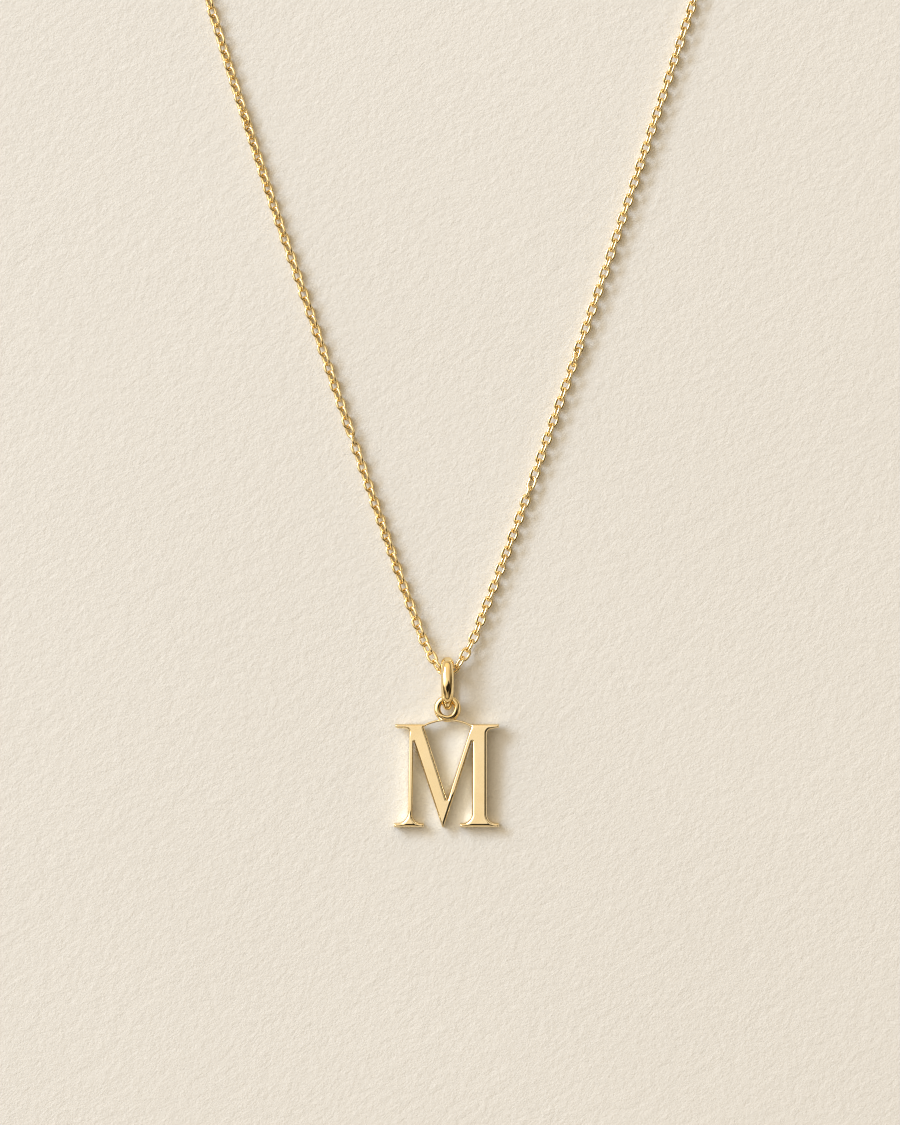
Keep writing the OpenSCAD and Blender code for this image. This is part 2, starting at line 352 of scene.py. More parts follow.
# Height on the necklace of the links that lie most open, down each strand. Between two of them stands one turned
# link, or the ones given in brackets: height and turn.
OPEN_LEFT = [
    -15.1, -17.16, -19.16, -21.02, -22.88, -24.7, -26.32, -27.8, -29.42, -31.18, -32.89, -34.74, -36.54, -38.39,
    -40.36, -42.37, -44.43, -46.45, -48.54, -50.52, -52.63, -54.7, -56.65, -58.65, -60.69, (-61.7, 38), (-62.65, 98),
    -63.65, -65.66, -67.71, -69.68, -71.56, -73.28, -74.99, -76.88, -78.92, -80.88, -82.97, -84.85, -86.78,
]
OPEN_RIGHT = [
    -14.7, -16.56, -18.54, -20.5, -22.44, -24.46, -26.38, -28.22, -30.24, -32.13, -34.06, -36.08, -38.11, -40.07,
    -42.04, -44.06, -46.14, -48.19, -50.26, -52.33, (-53.08, 48), (-53.83, 112), -54.6, -56.59, -58.57, -60.53, -62.55,
    -64.52, -66.39, (-67.49, 36), (-68.49, 100), -69.47, -71.32, -73.26, -75.17, -77.0, -78.96, -80.77, -82.63,
    -84.55, -86.46,
]


def open_roll(side, y):
    """Turn of an open link, in degrees: its right edge lies lower."""
    if side < 0:
        return float(np.interp(-y, [14, 24, 36, 45, 84, 88], [-36, -35, -27, -22, -22, -14]))
    return float(np.interp(-y, [14, 22, 30, 88], [-24, -19, -15, -13]))


def turned_roll(side, y):
    """Turn of the link between two open ones: its right edge stands higher."""
    if side < 0:
        return float(np.interp(-y, [14, 24, 36, 45, 80, 88], [38, 38, 46, 53, 54, 46]))
    return float(np.interp(-y, [14, 22, 30, 88], [60, 66, 69, 70]))


def strand(side, rows):
    """(length along the route, turn) of each link of a strand, from its top to the bail."""
    out = []
    for i, r in enumerate(rows):
        if isinstance(r, tuple):
            out.append((s_at_y(r[0], side), float(r[1])))
            continue
        out.append((s_at_y(r, side), open_roll(side, r)))
        if i + 1 < len(rows) and not isinstance(rows[i + 1], tuple) and not isinstance(r, tuple):
            y = (r + rows[i + 1]) / 2
            out.append((s_at_y(y, side), turned_roll(side, y)))
    return out


def between(a, b, pitch=1.035):
    """Links that fill the stretch between two placed ones, each about a quarter turn from the last."""
    gap = b[0] - a[0]
    n = max(1, round(gap / pitch))
    turn = (b[1] - a[1]) % 180.0
    turn += 180.0 * round((90.0 * n - turn) / 180.0)
    return [(a[0] + gap * k / n, a[1] + turn * k / n) for k in range(1, n)]


left = strand(-1, OPEN_LEFT)
# The route runs up the right strand, so its turns are seen from the other side
right = [(s, -roll) for s, roll in strand(1, OPEN_RIGHT)][::-1]
END_OUT = 1.72                                   # outer length of the two end links
first, last = (1.16, 0.0), (TOTAL - 0.97, 0.0)
links = [first] + between(first, left[0]) + left + between(left[-1], right[0], 0.99) + right + between(right[-1], last) + [last]
n_first, n_last = len(between(first, left[0])) + 1, len(between(right[-1], last)) + 1

S = np.array([q[0] for q in links])
ROLL = np.radians([q[1] for q in links])
N = len(links)
print("links:", N + 2, "mean pitch", round(float(np.diff(S).mean()), 3))

HALF_W, SIDE_W, END_W, DEEP = 0.605, 0.168, 0.124, 0.145      # outer half width, then half thicknesses of the wire
gaps = np.r_[S[1] - S[0], (S[2:] - S[:-2]) / 2, S[-1] - S[-2]]
outer = np.clip(gaps + 0.605, 1.55, 1.70)

hidden = np.ones(N, bool)
hidden[n_first:N - n_last] = False
wobble = np.where(hidden[:, None], np.radians([3.5, 2.5, 6.0]), np.radians([1.6, 1.6, 2.2])) * rng.uniform(-1, 1, (N, 3))

place = [at(s) for s in S]
P = np.array([q[0] for q in place])
T = np.array([q[1] for q in place])
# Each link lies as low as its neighbours let it
rest = (HALF_W - SIDE_W) * np.abs(np.sin(ROLL)) + SIDE_W * np.abs(np.sin(ROLL)) + DEEP * np.abs(np.cos(ROLL)) * 0.9
lift = rest.copy()
for _ in range(6):
    lift = np.maximum(lift, np.maximum(np.r_[0, lift[:-1]], np.r_[lift[1:], 0]) - 0.13)
lift[0] = lift[-1] = max(lift[0], 0.42)
P[:, 2] = P[:, 2] - Z0 + lift


def frames(T, roll, wob):
    side = np.stack([-T[:, 1], T[:, 0], np.zeros(len(T))], -1)
    side /= np.linalg.norm(side, axis=1)[:, None]
    up = np.cross(T, side)
    x = T + side * np.tan(wob[:, 0:1]) + up * np.tan(wob[:, 1:2])
    x /= np.linalg.norm(x, axis=1)[:, None]
    r = (roll + wob[:, 2])[:, None]
    y = np.cos(r) * side + np.sin(r) * up
    y -= x * (x * y).sum(1)[:, None]
    y /= np.linalg.norm(y, axis=1)[:, None]
    return x, y, np.cross(x, y)


def link_mesh(centre, x, y, z, length, n_seg, n_ring, half_w=HALF_W, side_w=SIDE_W, end_w=END_W, deep=DEEP):
    """Vertices and faces of oval wire links; every argument up to length has one row a link."""
    m = 2 / 2.35
    a = np.linspace(0, 2 * math.pi, n_seg, endpoint=False)
    c, s = np.cos(a), np.sin(a)
    cc, ss = np.sign(c) * np.abs(c)**m, np.sign(s) * np.abs(s)**m
    thick = end_w + (side_w - end_w) * np.abs(s)**1.5
    ha = (length / 2 - end_w)[:, None]
    px, py = ha * cc[None], np.tile((half_w - side_w) * ss, (len(length), 1))
    tx = np.roll(px, -1, 1) - np.roll(px, 1, 1)
    ty = np.roll(py, -1, 1) - np.roll(py, 1, 1)
    q = np.hypot(tx, ty)
    nx, ny = ty / q, -tx / q
    f = np.linspace(0, 2 * math.pi, n_ring, endpoint=False)
    m2 = 2 / 2.3
    u = np.sign(np.cos(f)) * np.abs(np.cos(f))**m2
    v = np.sign(np.sin(f)) * np.abs(np.sin(f))**m2
    lx = px[:, :, None] + nx[:, :, None] * thick[None, :, None] * u
    ly = py[:, :, None] + ny[:, :, None] * thick[None, :, None] * u
    lz = np.broadcast_to((deep * (1 - 0.2 * c * c))[None, :, None] * v, lx.shape)
    w = (centre[:, None, None] + lx[..., None] * x[:, None, None] + ly[..., None] * y[:, None, None] + lz[..., None] * z[:, None, None])
    i, j = np.meshgrid(np.arange(n_seg), np.arange(n_ring), indexing="ij")
    quad = np.stack([i * n_ring + j, i * n_ring + (j + 1) % n_ring, ((i + 1) % n_seg) * n_ring + (j + 1) % n_ring, ((i + 1) % n_seg) * n_ring + j], -1).reshape(-1, 4)
    quads = (quad[None] + (np.arange(len(length)) * n_seg * n_ring)[:, None, None]).reshape(-1, 4)
    return w.reshape(-1, 3), quads


def big_mesh(name, verts, quads, material):
    me = bpy.data.meshes.new(name)
    me.vertices.add(len(verts))
    me.vertices.foreach_set("co", (verts * MM).astype(np.float32).ravel())
    me.loops.add(quads.size)
    me.loops.foreach_set("vertex_index", quads.astype(np.int32).ravel())
    me.polygons.add(len(quads))
    me.polygons.foreach_set("loop_start", np.arange(0, quads.size, 4, dtype=np.int32))
    me.polygons.foreach_set("use_smooth", np.ones(len(quads), bool))
    me.update(calc_edges=True)
    me.validate()
    ob = bpy.data.objects.new(name, me)
    bpy.context.scene.collection.objects.link(ob)
    me.materials.append(material)
    return ob


X, Y, Z = frames(T, ROLL, wobble)


def lowest(sel, n_seg=24, n_ring=8):
    v, _ = link_mesh(P[sel], X[sel], Y[sel], Z[sel], outer[sel], n_seg, n_ring)
    return v.reshape(int(np.sum(sel)), -1, 3)[:, :, 2].min(1)


low = lowest(np.ones(N, bool))
P[:, 2] += np.maximum(0.0, 0.004 - low)

# The two end links stand upright, one through the clasp's small loop and one round its spring wire
end_c = np.array([[-4.91, 102.66, 0.552], [2.86, 102.70, 0.552]])
end_x = np.array([at(0.0)[1], at(TOTAL)[1]])
end_s = np.stack([-end_x[:, 1], end_x[:, 0], np.zeros(2)], -1)
end_z = np.cross(end_x, np.cross(end_x, end_s))

back_l = np.zeros(N, bool); back_l[:n_first] = True
back_r = np.zeros(N, bool); back_r[N - n_last:] = True
front = ~(back_l | back_r)

for name, sel, ends, n_seg, n_ring in (("chain_front", front, [], 44, 12), ("chain_left", back_l, [0], 30, 10), ("chain_right", back_r, [1], 30, 10)):
    v, f = link_mesh(P[sel], X[sel], Y[sel], Z[sel], outer[sel], n_seg, n_ring)
    if ends:
        up = np.tile([0.0, 0.0, 1.0], (len(ends), 1))
        ex = end_x[ends] * [1, 1, 0]
        ex /= np.linalg.norm(ex, axis=1)[:, None]
        ev, ef = link_mesh(end_c[ends], ex, up, np.cross(ex, up), np.full(len(ends), END_OUT), 44, 14, 0.548, 0.12, 0.12, 0.12)
        f = np.concatenate([f, ef + len(v)])
        v = np.concatenate([v, ev])
    ob = big_mesh(name, v, f, chain_gold)
    keep(ob, "chain")
    print(name, "links", int(sel.sum()) + len(ends), "triangles", 2 * len(f))


# ---------------------------------------------------------------- the bail

BAIL_L, BAIL_D, BAIL_T, BAIL_W = 5.9, 2.8, 0.68, 1.4
CROSS = (-0.4, -88.4)
BAIL_TOP = CROSS[1] + 0.23
BAIL_LOW = BAIL_TOP - (BAIL_L - BAIL_D)
TAPER = [(-1.45, 0.34), (-1.40, 0.37), (-1.33, 0.395), (-1.17, 0.43), (-0.94, 0.455), (-0.72, 0.475), (-0.5, 0.51), (-0.28, 0.575), (0.05, 0.64),
         (0.5, 0.672), (1.2, 0.698), (3.6, 0.698), (4.0, 0.69), (4.2, 0.665), (4.35, 0.625), (4.45, 0.58), (4.53, 0.53), (4.58, 0.49), (4.7, 0.45)]
TAPER_BACK = [(-1.45, 0.38), (-1.40, 0.44), (-1.3, 0.50), (-1.15, 0.545), (-0.9, 0.58), (-0.5, 0.61), (0.05, 0.645), (0.5, 0.672), (1.2, 0.698), (3.0, 0.698)]


def bail_half(y, z):
    """Half width at a height above the low end's middle; the back strand stays a little wider at the foot."""
    front_w = float(np.interp(y, [q[0] for q in TAPER], [q[1] for q in TAPER]))
    if y > 0.5:
        return front_w
    back_w = float(np.interp(y, [q[0] for q in TAPER_BACK], [q[1] for q in TAPER_BACK]))
    f = min(1.0, max(0.0, (z - 0.9) / 0.5))
    return back_w + (front_w - back_w) * f * f * (3 - 2 * f)


def bail_path(n_end=56, n_side=24):
    """Points in the upright plane (y from the low end's middle, z from the middle of its depth) and outward directions."""
    r = BAIL_D / 2 - BAIL_T / 2
    straight = BAIL_L - BAIL_D
    rows = []
    for k in range(n_side):
        rows.append((straight * k / n_side, r, 0.0, 1.0))
    for k in range(n_end):
        a = math.pi / 2 - math.pi * k / n_end
        rows.append((straight + r * math.cos(a), r * math.sin(a), math.cos(a), math.sin(a)))
    for k in range(n_side):
        rows.append((straight * (1 - k / n_side), -r, 0.0, -1.0))
    for k in range(n_end):
        a = -math.pi / 2 - math.pi * k / n_end
        rows.append((r * math.cos(a), r * math.sin(a), math.cos(a), math.sin(a)))
    return rows


def band_section():
    """Half round outside, slightly domed inside, with rounded edges: (x from -1 to 1, height)."""
    ro, ri, t = 0.76, 1.2, BAIL_T
    tip_h = -0.117
    pts = []
    for b in np.linspace(-60, 60, 33):
        b = math.radians(b)
        pts.append((ro * math.sin(b), t / 2 - ro + ro * math.cos(b)))
    edge = [(0.688, -0.075), (0.697, -0.112), (0.690, -0.150), (0.660, -0.176)]
    inner = [(x, -t / 2 + ri - math.sqrt(ri * ri - x * x)) for x in np.linspace(0.60, -0.60, 13)]
    pts = pts + edge + inner + [(-x, h) for x, h in edge[::-1]]
    return [(x / 0.70, h) for x, h in pts], tip_h


section, _ = band_section()
verts = []
for (y, z, ny, nz) in bail_path():
    crown = 0.75 * max(ny, 0.0)**2 if y > 1 else 0.95 * max(-ny, 0.0)**1.5
    for (sx, h) in section:
        if h > -0.1:
            flat = BAIL_T / 2 - 0.46 * abs(sx)**4.6
            h = h + (max(h, flat) - h) * crown
        yy, zz = y + ny * h, z + nz * h
        # The front slopes down a little towards the eye
        below = max(0.0, 1.2 - yy)
        zz -= 0.06 * below**2 * min(1.0, max(0.0, (zz + BAIL_D / 2 - 0.7) / 2.1))
        verts.append((CROSS[0] + sx * bail_half(yy, zz + BAIL_D / 2), BAIL_LOW + yy, BAIL_D / 2 + zz))
bail = add_mesh("bail_ring", verts, grid_faces(len(bail_path()), len(section), True, True, flip=True), bail_gold)
keep(bail, "bail")


# ---------------------------------------------------------------- the letter

H, THICK, TILT = 11.45, 1.25, math.radians(2.2)
EYE_R, EYE_WIRE, EYE_RISE, BRIDGE = 1.13, 0.74, 1.72, 0.25
EYE_UP = H + EYE_RISE
EYE_Y = BAIL_LOW - 0.08 - EYE_R
LETTER_X = CROSS[0] - 0.1
LETTER_Y = EYE_Y - EYE_UP * math.cos(TILT) + THICK / 2 * math.sin(TILT)


def put(v):
    """From the letter's own frame to the row frame, still in millimetres."""
    v = np.asarray(v, float)
    c, s = math.cos(TILT), math.sin(TILT)
    return np.stack([v[:, 0] + LETTER_X, v[:, 1] * c - v[:, 2] * s + LETTER_Y, v[:, 1] * s + v[:, 2] * c], -1)


def arc(cx, cy, r, a0, a1, n=14):
    return [(cx + r * math.cos(math.radians(a0 + (a1 - a0) * k / n)), cy + r * math.sin(math.radians(a0 + (a1 - a0) * k / n))) for k in range(n + 1)]


def corner(p, q, r, rad, n=5):
    """The corner q between p and r, rounded with a radius."""
    p, q, r = np.array(p, float), np.array(q, float), np.array(r, float)
    u, v = (p - q) / np.linalg.norm(p - q), (r - q) / np.linalg.norm(r - q)
    half = math.acos(max(-1, min(1, float(u @ v)))) / 2
    d = rad / math.tan(half)
    a, b = q + u * d, q + v * d
    mid = q + (u + v) / np.linalg.norm(u + v) * rad / math.sin(half)
    a0, a1 = math.atan2(*(a - mid)[::-1]), math.atan2(*(b - mid)[::-1])
    while a1 - a0 > math.pi:
        a1 -= 2 * math.pi
    while a1 - a0 < -math.pi:
        a1 += 2 * math.pi
    return [(mid[0] + rad * math.cos(a0 + (a1 - a0) * k / n), mid[1] + rad * math.sin(a0 + (a1 - a0) * k / n)) for k in range(n + 1)]


SH = 0.43
raw = [((-5.84, 0), 0.09), ((-2.51, 0), 0.09), ((-2.51, SH), 0.09)]
raw += [(q, 0) for q in arc(-2.79, 1.43, 1.0, -90, -180)]
raw += [((-3.650, 9.64), 0.015), ((-0.49, 0), 0.05), ((-0.30, 0), 0.05), ((2.832, 9.62), 0.015)]
raw += [(q, 0) for q in arc(1.73, 1.53, 1.1, 0, -90)]
raw += [((1.49, SH), 0.09), ((1.49, 0), 0.09), ((5.84, 0), 0.09), ((5.84, SH), 0.09)]
raw += [(q, 0) for q in arc(5.51, 1.43, 1.0, -90, -180)]
raw += [(q, 0) for q in arc(4.93, H - 1.0, 0.42, 180, 90)]
raw += [((5.85, H - 0.38), 0.08), ((5.85, H), 0.09), ((2.78, H), 0.06), ((0.09, 3.04), 0.03), ((-2.58, H), 0.06), ((-5.70, H), 0.09),
        ((-5.70, H - 0.28), 0.08), ((-5.44, H - 0.47), 0.10)]
raw += [(q, 0) for q in arc(-4.634, H - 0.95, 0.48, 90, 0)]
raw += [(q, 0) for q in arc(-5.5, 1.63, 1.2, 0, -90)]
raw += [((-5.84, SH), 0.09)]
outline = []
for i, (q, r) in enumerate(raw):
    outline += corner(raw[i - 1][0], q, raw[(i + 1) % len(raw)][0], r) if r else [q]


def split_long(pts, step):
    out = []
    for i, a in enumerate(pts):
        b = pts[(i + 1) % len(pts)]
        d = math.dist(a, b)
        n = max(1, math.ceil(d / step))
        out += [(a[0] + (b[0] - a[0]) * k / n, a[1] + (b[1] - a[1]) * k / n) for k in range(n)]
    return out


POLY = np.array(outline)
A, B = POLY, np.roll(POLY, -1, 0)
GRID = 0.02
gx = np.arange(-6.0, 6.001, GRID)
gy = np.arange(-0.16, H + 0.161, GRID)


def depth_field():
    """Distance inside the outline at each grid point, negative outside."""
    out = np.empty((len(gy), len(gx)))
    ab = B - A
    l2 = (ab**2).sum(1)
    for i, y in enumerate(gy):
        p = np.stack([gx, np.full(len(gx), y)], -1)[:, None]
        t = np.clip(((p - A) * ab).sum(-1) / l2, 0, 1)[..., None]
        d = np.sqrt((((A + ab * t) - p)**2).sum(-1)).min(1)
        up = (A[:, 1] > y) != (B[:, 1] > y)
        xs = A[up, 0] + (y - A[up, 1]) / (B[up, 1] - A[up, 1]) * (B[up, 0] - A[up, 0])
        inside = ((gx[:, None] < xs).sum(1) % 2) == 1
        out[i] = np.where(inside, d, -d)
    return out


FIELD = depth_field()


def near_line(p, q, wide):
    """1 on the line from p to q, falling off over wide, at each grid point."""
    p, q = np.array(p, float), np.array(q, float)
    d = q - p
    px, py = np.meshgrid(gx, gy)
    t = np.clip(((px - p[0]) * d[0] + (py - p[1]) * d[1]) / (d @ d), 0, 1)
    return np.exp(-((px - p[0] - t * d[0])**2 + (py - p[1] - t * d[1])**2) / wide**2)


# The thin strokes have narrower rounded edges, so that a flat strip is left between them
FIELD *= 1.0 + 1.35 * near_line((-4.03, 2.2), (-3.905, 9.9), 0.42) + 0.95 * near_line((0.75, 4.2), (2.55, 10.2), 0.48)
# The base is rounded over its whole height
FIELD *= 1.0 - 0.36 * np.exp(-(gy / 0.52)**4)[:, None]


def simplify(pts, tol):
    """Douglas-Peucker on a closed loop."""
    pts = np.asarray(pts)
    n = len(pts)
    far = int(np.argmax(((pts - pts[0])**2).sum(1)))
    keep_ = np.zeros(n, bool)
    keep_[0] = keep_[far] = True
    stack = [(0, far), (far, n)]
    while stack:
        a, b = stack.pop()
        if b - a < 2:
            continue
        p, q = pts[a], pts[b % n]
        seg = pts[a + 1:b]
        d = q - p
        L = np.hypot(*d)
        dist = np.abs((seg[:, 0] - p[0]) * d[1] - (seg[:, 1] - p[1]) * d[0]) / L if L > 1e-9 else np.hypot(*(seg - p).T)
        k = int(np.argmax(dist))
        if dist[k] > tol:
            keep_[a + 1 + k] = True
            stack += [(a, a + 1 + k), (a + 1 + k, b)]
    return [tuple(q) for q in pts[keep_]]


def contour(level):
    """Closed loops where the depth is level."""
    f = FIELD - level
    f[f == 0] = 1e-9
    s = f > 0
    cells = np.argwhere((s[:-1, :-1] != s[1:, :-1]) | (s[:-1, :-1] != s[:-1, 1:]) | (s[:-1, :-1] != s[1:, 1:]) | (s[1:, :-1] != s[1:, 1:]))
    nxt = {}

    def cross(i0, j0, i1, j1):
        a, b = f[i0, j0], f[i1, j1]
        t = a / (a - b)
        return (gx[j0] + (gx[j1] - gx[j0]) * t, gy[i0] + (gy[i1] - gy[i0]) * t)

    where = {}
    for i, j in cells.tolist():
        corners = [(i, j), (i, j + 1), (i + 1, j + 1), (i + 1, j)]
        signs = [s[c] for c in corners]
        enter, leave = [], []
        for k in range(4):
            c0, c1 = corners[k], corners[(k + 1) % 4]
            if signs[k] != signs[(k + 1) % 4]:
                key = (min(c0, c1), max(c0, c1))
                if key not in where:
                    where[key] = cross(*key[0], *key[1])
                (leave if signs[k] else enter).append((k, key))
        if len(enter) == 1:
            nxt[enter[0][1]] = leave[0][1]
        else:
            mid_in = f[i:i + 2, j:j + 2].mean() > 0
            for k, key in enter:
                want = (k + 1) % 4 if not mid_in else (k - 1) % 4
                for k2, key2 in leave:
                    if k2 == want:
                        nxt[key] = key2
    loops = []
    while nxt:
        start = next(iter(nxt))
        loop, key = [], start
        while key in nxt:
            loop.append(where[key])
            key = nxt.pop(key)
        if len(loop) > 12:
            loops.append(loop)
    return loops


def cap(rings, step):
    """Vertices (x, y, ring number) and triangles of the region inside the outline, with lines along each ring's depth."""
    pts = split_long(outline, step)
    n_out = len(pts)
    level = [0] * n_out
    edges = []
    for k, d in enumerate(rings, 1):
        for loop in contour(d):
            q = split_long(simplify(loop, 0.0012), step)
            if len(q) < 6:
                continue
            base = len(pts)
            pts += q
            level += [k] * len(q)
            edges += [(base + i, base + (i + 1) % len(q)) for i in range(len(q))]
    r = delaunay_2d_cdt([Vector(p) for p in pts], edges, [list(range(n_out))], 1, 1e-6)
    v, f, orig = r[0], r[2], r[3]
    lev = []
    for i, o in enumerate(orig):
        lev.append(level[o[0]] if o else -1)
    return [(p.x, p.y) for p in v], lev, [tuple(t) for t in f], n_out


EDGE_R, BACK_R = 0.31, 0.09
angles = [24, 40, 55, 69, 81, 90]
rings = [EDGE_R * (1 - math.cos(math.radians(a))) for a in angles]
ring_z = [THICK - EDGE_R + EDGE_R * math.sin(math.radians(a)) for a in angles]
rings.append(EDGE_R + 0.028)
ring_z.append(THICK)
top_p, top_l, top_f, n_out = cap(rings, 0.16)
back_rings = [BACK_R * 0.3, BACK_R, BACK_R + 0.03]
back_z = [BACK_R * 0.3, 0.0, 0.0]
back_p, back_l_, back_f, n_out_b = cap(back_rings, 0.16)
assert n_out == n_out_b


def near_level(p, zs, rs, z_out):
    """Height of a point that the triangulation added, from its depth."""
    j = min(max(int(round((p[0] - gx[0]) / GRID)), 0), len(gx) - 1)
    i = min(max(int(round((p[1] - gy[0]) / GRID)), 0), len(gy) - 1)
    return float(np.interp(FIELD[i, j], [0] + rs, [z_out] + zs))


def heights(p, lev, zs, rs, z_out):
    return [z_out if k == 0 else (zs[k - 1] if k > 0 else near_level(q, zs, rs, z_out)) for q, k in zip(p, lev)]


top_z = heights(top_p, top_l, ring_z, rings, THICK - EDGE_R)
bot_z = heights(back_p, back_l_, back_z, back_rings, BACK_R)
verts = [(x, y, z) for (x, y), z in zip(top_p, top_z)]
nb = len(verts)
verts += [(x, y, z) for (x, y), z in zip(back_p, bot_z)]


def outward(tris, base, up):
    out = []
    for t in tris:
        a, b, c = (verts[base + i] for i in t)
        area = (b[0] - a[0]) * (c[1] - a[1]) - (b[1] - a[1]) * (c[0] - a[0])
        t = tuple(base + i for i in t)
        out.append(t if (area > 0) == up else t[::-1])
    return out


faces = outward(top_f, 0, True) + outward(back_f, nb, False)
# The outline's points keep their order in both caps, so the wall joins them one to one
index_t = {(round(x, 5), round(y, 5)): i for i, (x, y) in enumerate(top_p) if top_l[i] == 0}
index_b = {(round(x, 5), round(y, 5)): i for i, (x, y) in enumerate(back_p) if back_l_[i] == 0}
ring_pts = split_long(outline, 0.16)
mids = [0.33, 0.66]
wall_base = len(verts)
tops = [index_t[(round(Vector(q).x, 5), round(Vector(q).y, 5))] for q in ring_pts]
bots = [nb + index_b[(round(Vector(q).x, 5), round(Vector(q).y, 5))] for q in ring_pts]
rows = [tops]
for m_ in mids:
    rows.append([len(verts) + i for i in range(len(ring_pts))])
    verts += [(q[0], q[1], (THICK - EDGE_R) * (1 - m_) + BACK_R * m_) for q in ring_pts]
rows.append(bots)
for r0, r1 in zip(rows, rows[1:]):
    for i in range(len(ring_pts)):
        j = (i + 1) % len(ring_pts)
        faces.append((r0[i], r1[i], r1[j], r0[j]))
letter = add_mesh("letter_face", put(verts), faces, letter_gold)
keep(letter, "letter")
print("letter vertices", len(verts), "faces", len(faces), "added points", sum(k < 0 for k in top_l))

v, f = torus((0.1, EYE_UP, THICK / 2), EYE_R, EYE_WIRE / 2)
eye = add_mesh("letter_eye", put(v), f, eye_gold)
keep(eye, "letter")

# The arched bridge from one inner top corner to the other, by way of the eye's foot
half, rise = 2.74, EYE_RISE - EYE_R + 0.1
rad = (half * half + rise * rise) / (2 * rise)
a_half = math.asin(half / rad)
bridge_v = []
sec = [(BRIDGE / 2 * math.cos(b) * (1 if abs(math.cos(b)) > 0.3 else 1), 0.33 * math.sin(b)) for b in np.linspace(0, 2 * math.pi, 20, endpoint=False)]
sec = [(math.copysign(abs(c)**0.6, c) * BRIDGE / 2, math.copysign(abs(s)**0.6, s) * 0.33) for c, s in ((math.cos(b), math.sin(b)) for b in np.linspace(0, 2 * math.pi, 20, endpoint=False))]
n_b = 64
for k in range(n_b + 1):
    a = math.pi / 2 - a_half + 2 * a_half * k / n_b
    for (dr, dz) in sec:
        rr = rad - BRIDGE / 2 + BRIDGE / 2 + dr - BRIDGE / 2
        bridge_v.append((0.1 + rr * math.cos(a), H - 0.1 + rise - rad + rr * math.sin(a), THICK / 2 + dz))
bf = grid_faces(n_b + 1, len(sec), False, True, flip=True)
bf.append(tuple(range(len(sec))))
bf.append(tuple(n_b * len(sec) + k for k in range(len(sec) - 1, -1, -1)))
bridge = add_mesh("letter_bridge", put(bridge_v), bf, letter_gold)
keep(bridge, "letter")


# ---------------------------------------------------------------- the clasp

CLASP = np.array([0.0, ARC_Y + LOOP_R, 0.55])
R_C, R_T = 2.4, 0.55


def ring_arc(a0, a1, n, r=R_C):
    a = np.radians(np.linspace(a0, a1, n))
    return np.stack([r * np.cos(a), r * np.sin(a), np.zeros(n)], -1) + CLASP


pts = ring_arc(31, 333, 150)
w = np.linspace(0, 1, 150)
arc_mm = w * math.radians(302) * R_C
d_end = np.minimum(arc_mm, arc_mm[-1] - arc_mm)
radii = 0.535 - 0.16 * np.clip(1 - d_end / 0.32, 0, 1)**2 + 0.013 * np.exp(-((d_end - 0.62) / 0.12)**2)
v, f = tube_along(pts, radii, 32)
keep(add_mesh("clasp_tube", v, f, clasp_gold), "clasp")
v, f = tube_along(ring_arc(-34, 38, 40), 0.29, 24)
keep(add_mesh("clasp_tongue", v, f, clasp_gold), "clasp")
lever = [CLASP + np.array([math.cos(math.radians(-41)), math.sin(math.radians(-41)), 0]) * r for r in np.linspace(R_C + 0.30, R_C + 0.56, 5)]
v, f = tube_along(lever, [0.21, 0.19, 0.17, 0.2, 0.23], 20)
keep(add_mesh("clasp_trigger", v, f, clasp_gold), "clasp")
v, f = torus(CLASP + np.array([-R_C - R_T - 0.8, 0, 0]), 0.8, 0.25, 72, 24)
keep(add_mesh("clasp_loop", v, f, clasp_gold), "clasp")
neck = np.stack([np.linspace(-R_C - 0.42, -R_C - R_T - 0.22, 7), np.zeros(7), np.zeros(7)], -1) + CLASP
v, f = tube_along(neck, [0.36, 0.34, 0.30, 0.27, 0.26, 0.25, 0.24], 20)
keep(add_mesh("clasp_solder", v, f, clasp_gold), "clasp")


# ---------------------------------------------------------------- the floor

surface, n, bsdf = new_material("pale_floor")
pos = n.new("ShaderNodeTexCoord").outputs["Object"]
lay = n.new("ShaderNodeMapping", {"Vector": pos, "Rotation": (0.0, 0.0, 0.62), "Scale": (1.2, 1.0, 1.0)}, vector_type="TEXTURE").outputs[0]
tone = n.noise(pos, 26.0, 3.0, 0.5)
speck = n.noise(lay, 4300.0, 2.0, 0.6)
mottle = n.noise(lay, 1500.0, 2.0, 0.5)
share = n.math("ADD", n.math("MULTIPLY", n.ramp(tone, 0.35, 0.65), 0.16), n.math("MULTIPLY", n.ramp(speck, 0.25, 0.75), 0.56))
share = n.math("ADD", share, n.math("MULTIPLY", n.ramp(mottle, 0.3, 0.7), 0.28))
surface.node_tree.links.new(n.blend(share, (0.730, 0.709, 0.663, 1), (0.798, 0.779, 0.735, 1)), bsdf.inputs["Base Color"])
bsdf.inputs["Roughness"].default_value = 0.92
bsdf.inputs["Specular IOR Level"].default_value = 0.12
coarse = n.noise(lay, 620.0, 2.0, 0.5)
middle = n.noise(lay, 1700.0, 2.0, 0.5)
grain = n.noise(lay, 4600.0, 2.0, 0.6)
relief = n.math("ADD", n.math("MULTIPLY", coarse, 0.9), n.math("ADD", n.math("MULTIPLY", middle, 0.75), n.math("MULTIPLY", grain, 0.5)))
surface.node_tree.links.new(n.new("ShaderNodeBump", {"Strength": 1.0, "Distance": 7.6e-5, "Height": relief}).outputs[0], bsdf.inputs["Normal"])
half_f = 3000.0
floor = add_mesh("pale_floor", [(-half_f, -half_f, -0.02), (half_f, -half_f, -0.02), (half_f, half_f, -0.02), (-half_f, half_f, -0.02)], [(0, 1, 2, 3)], surface, False)


# ---------------------------------------------------------------- light

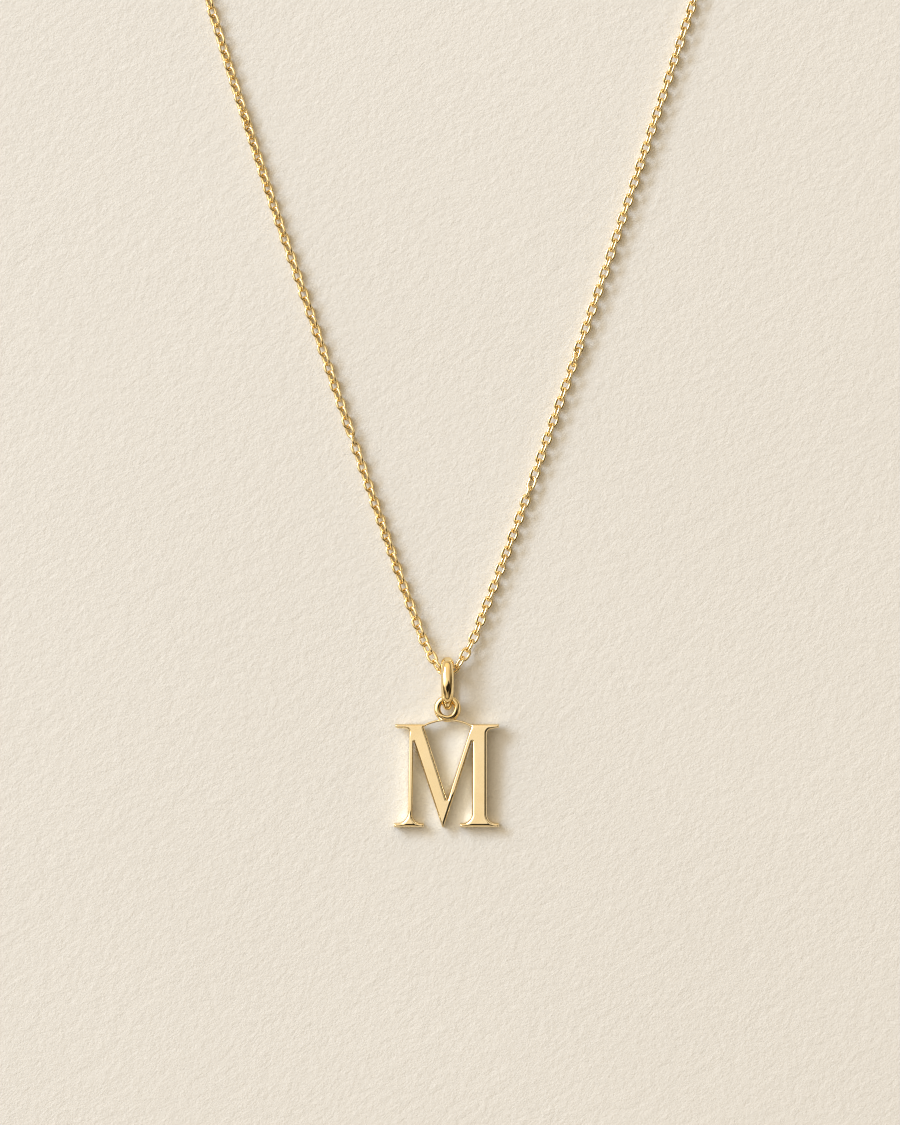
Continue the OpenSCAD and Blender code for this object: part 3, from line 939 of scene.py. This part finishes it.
world = bpy.data.worlds.new("studio")
bpy.context.scene.world = world
world.use_nodes = True
world.node_tree.nodes.clear()
w = Nodes(world.node_tree)
ray = w.new("ShaderNodeTexCoord").outputs["Generated"]
dx, dy, dz = w.new("ShaderNodeSeparateXYZ", {0: ray}).outputs


def patch(azimuth, elevation, inner, outer):
    """1 within inner degrees of a direction, 0 past outer degrees; azimuth from +X towards +Y."""
    a, e = math.radians(azimuth), math.radians(elevation)
    axis = (math.cos(e) * math.cos(a), math.cos(e) * math.sin(a), math.sin(e))
    dot = w.new("ShaderNodeVectorMath", {0: ray, 1: axis}, operation="DOT_PRODUCT").outputs["Value"]
    return w.step(dot, math.cos(math.radians(outer)), math.cos(math.radians(inner)))


def towards(level, f, to):
    return w.math("ADD", w.math("MULTIPLY", level, w.math("SUBTRACT", 1.0, f)), w.math("MULTIPLY", f, to))


# A bright ceiling over a room that is light towards the window, upper left, and dim away from it
to_window = w.math("ADD", w.math("MULTIPLY", dx, -0.86), w.math("MULTIPLY", dy, 0.50))
room = w.step(to_window, -0.75, 0.60, 0.20, 1.28)
ceiling = w.step(w.math("ADD", dz, w.math("MULTIPLY", to_window, 0.22)), 0.54, 0.98)
level = towards(room, ceiling, 1.03)
level = towards(level, patch(168, 73, 3, 14), 1.5)
for azimuth, elevation, inner, outer, to, share in (
        (-92, 23, 6, 19, 0.68, 0.95),
        (-42, 28, 9, 21, 0.01, 0.95),                     # dark things in front and to the lower right
        (-24, 44, 8, 17, 0.02, 0.9),
        (-32, 70, 9, 15, 0.01, 0.95),
        (-60, 54, 5, 13, 0.01, 0.95),
        (-36, 56, 5, 13, 0.02, 0.8),
        (-125, 58, 6, 13, 0.02, 0.85),
        (-90, 60, 13, 18, 0.005, 0.98),
        (-62, 69, 7, 13, 0.005, 0.95),
        (-90, 73, 3, 8, 0.005, 0.95),
        (-150, 20, 10, 21, 0.02, 0.85),
        (-127, 27, 7, 17, 0.02, 0.85),
        (4, 17, 8, 19, 0.01, 0.95)):
    level = towards(level, w.math("MULTIPLY", patch(azimuth, elevation, inner, outer), share), to)
band = w.math("MULTIPLY", w.step(dz, 0.17, 0.22), w.step(dz, 0.26, 0.36, 1.0, 0.0))
level = towards(level, w.math("MULTIPLY", band, w.step(to_window, -0.2, 0.9, 0.93, 0.45)), 0.02)
level = towards(level, w.step(dz, 0.16, 0.20, 1.0, 0.0), 0.74)    # pale table edge all round
window = patch(166, 38, 13, 33)
level = towards(level, window, 2.7)                       # soft light round the window
colour = w.blend(window, w.blend(ceiling, (1.0, 0.78, 0.50, 1), (1.0, 0.855, 0.645, 1)), (1.0, 0.94, 0.85, 1))
bg = w.new("ShaderNodeBackground", {"Color": colour, "Strength": level})
world.node_tree.links.new(bg.outputs[0], w.new("ShaderNodeOutputWorld").inputs["Surface"])

key_dir = Vector((-1.40, 0.96, 1.0)).normalized()
key = bpy.data.lights.new("key", "AREA")
key.shape, key.size, key.size_y = "RECTANGLE", 1.30, 0.42
key.energy = 31.0
key.color = (0.665, 0.80, 1.0)
key_ob = bpy.data.objects.new("key", key)
key_ob.location = key_dir * 2.0 + Vector((0, -0.076, 0))
key_ob.rotation_euler = key_dir.to_track_quat("Z", "Y").to_euler()
bpy.context.scene.collection.objects.link(key_ob)

# ---------------------------------------------------------------- camera

cam = bpy.data.cameras.new("camera")
cam_ob = bpy.data.objects.new("camera", cam)
bpy.context.scene.collection.objects.link(cam_ob)
bpy.context.scene.camera = cam_ob
dist = 0.7
cam.sensor_width = 36.0
cam.lens = 36.0 * dist / 0.125
cam_ob.location = (-0.000111, -0.076272, dist)
cam_ob.rotation_euler = (0.0, 0.0, 0.0)
cam.clip_start, cam.clip_end = 0.01, 20.0

bpy.context.scene.cycles.blur_glossy = 0.33
bpy.context.scene.cycles.filter_width = 1.15
bpy.context.scene.view_settings.view_transform = "Standard"
bpy.context.scene.view_settings.look = "None"
